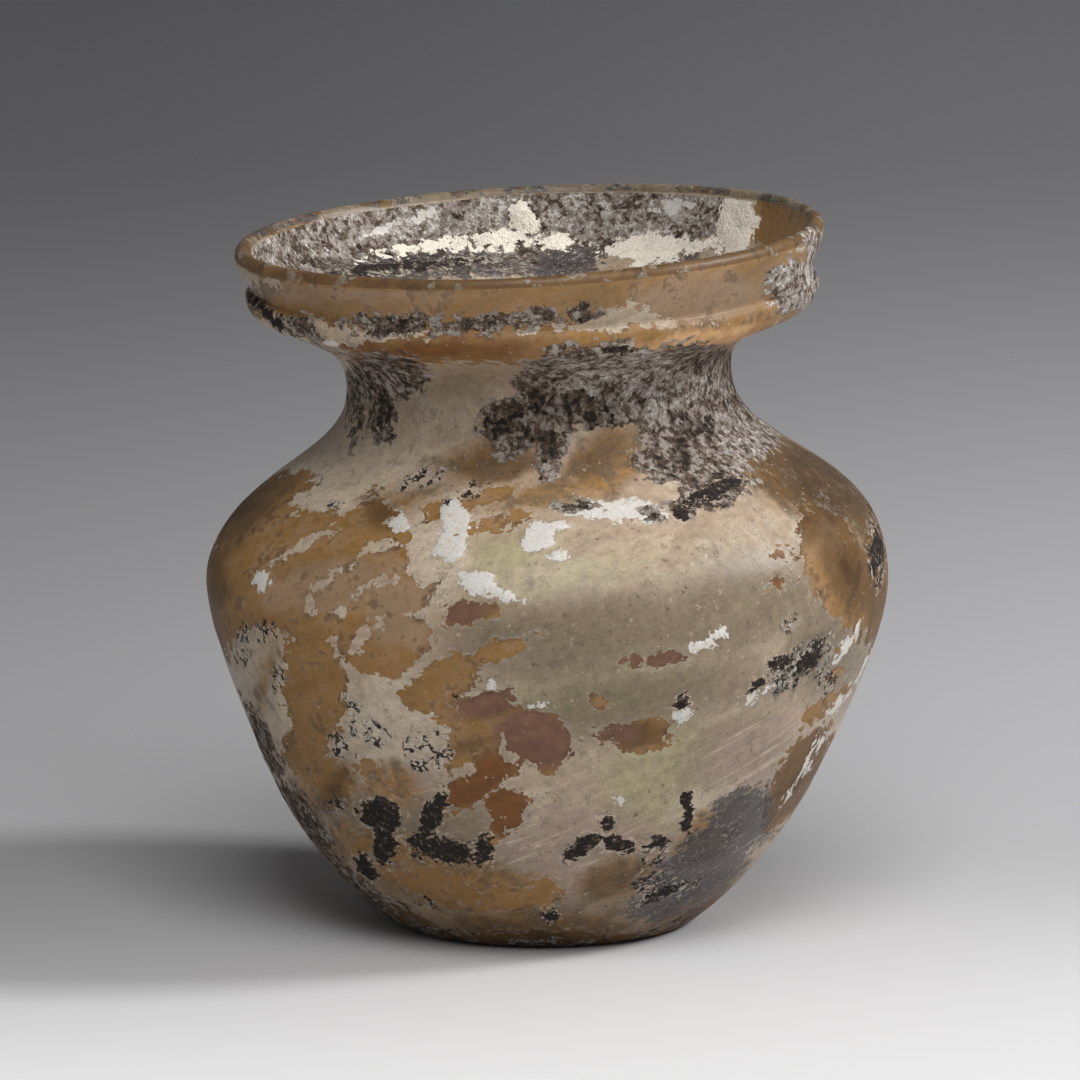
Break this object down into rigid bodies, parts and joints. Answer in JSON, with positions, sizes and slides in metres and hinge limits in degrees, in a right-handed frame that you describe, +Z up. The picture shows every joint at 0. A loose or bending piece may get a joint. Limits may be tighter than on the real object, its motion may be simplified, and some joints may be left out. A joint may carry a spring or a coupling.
{
  "type": "roman glass unguent jar",
  "caption": "Squat blown-glass unguent jar with a round body, short neck and wide folded collar rim, weathered; stands on its base and holds ointment or cosmetics.",
  "frame": {"origin": "on the ground, below the middle of the body", "axes": "+Z up out of the mouth, +Y away from the side that the picture shows, +X to that view's right"},
  "size_m": [0.074, 0.074, 0.0772],
  "materials": {
    "weathered_glass": "translucent amber-brown glass under a torn tan weathering film, with dark crusts and white flakes"
  },
  "bodies": {
    "root": {"jar": "weathered_glass"}
  },
  "joints": []
}
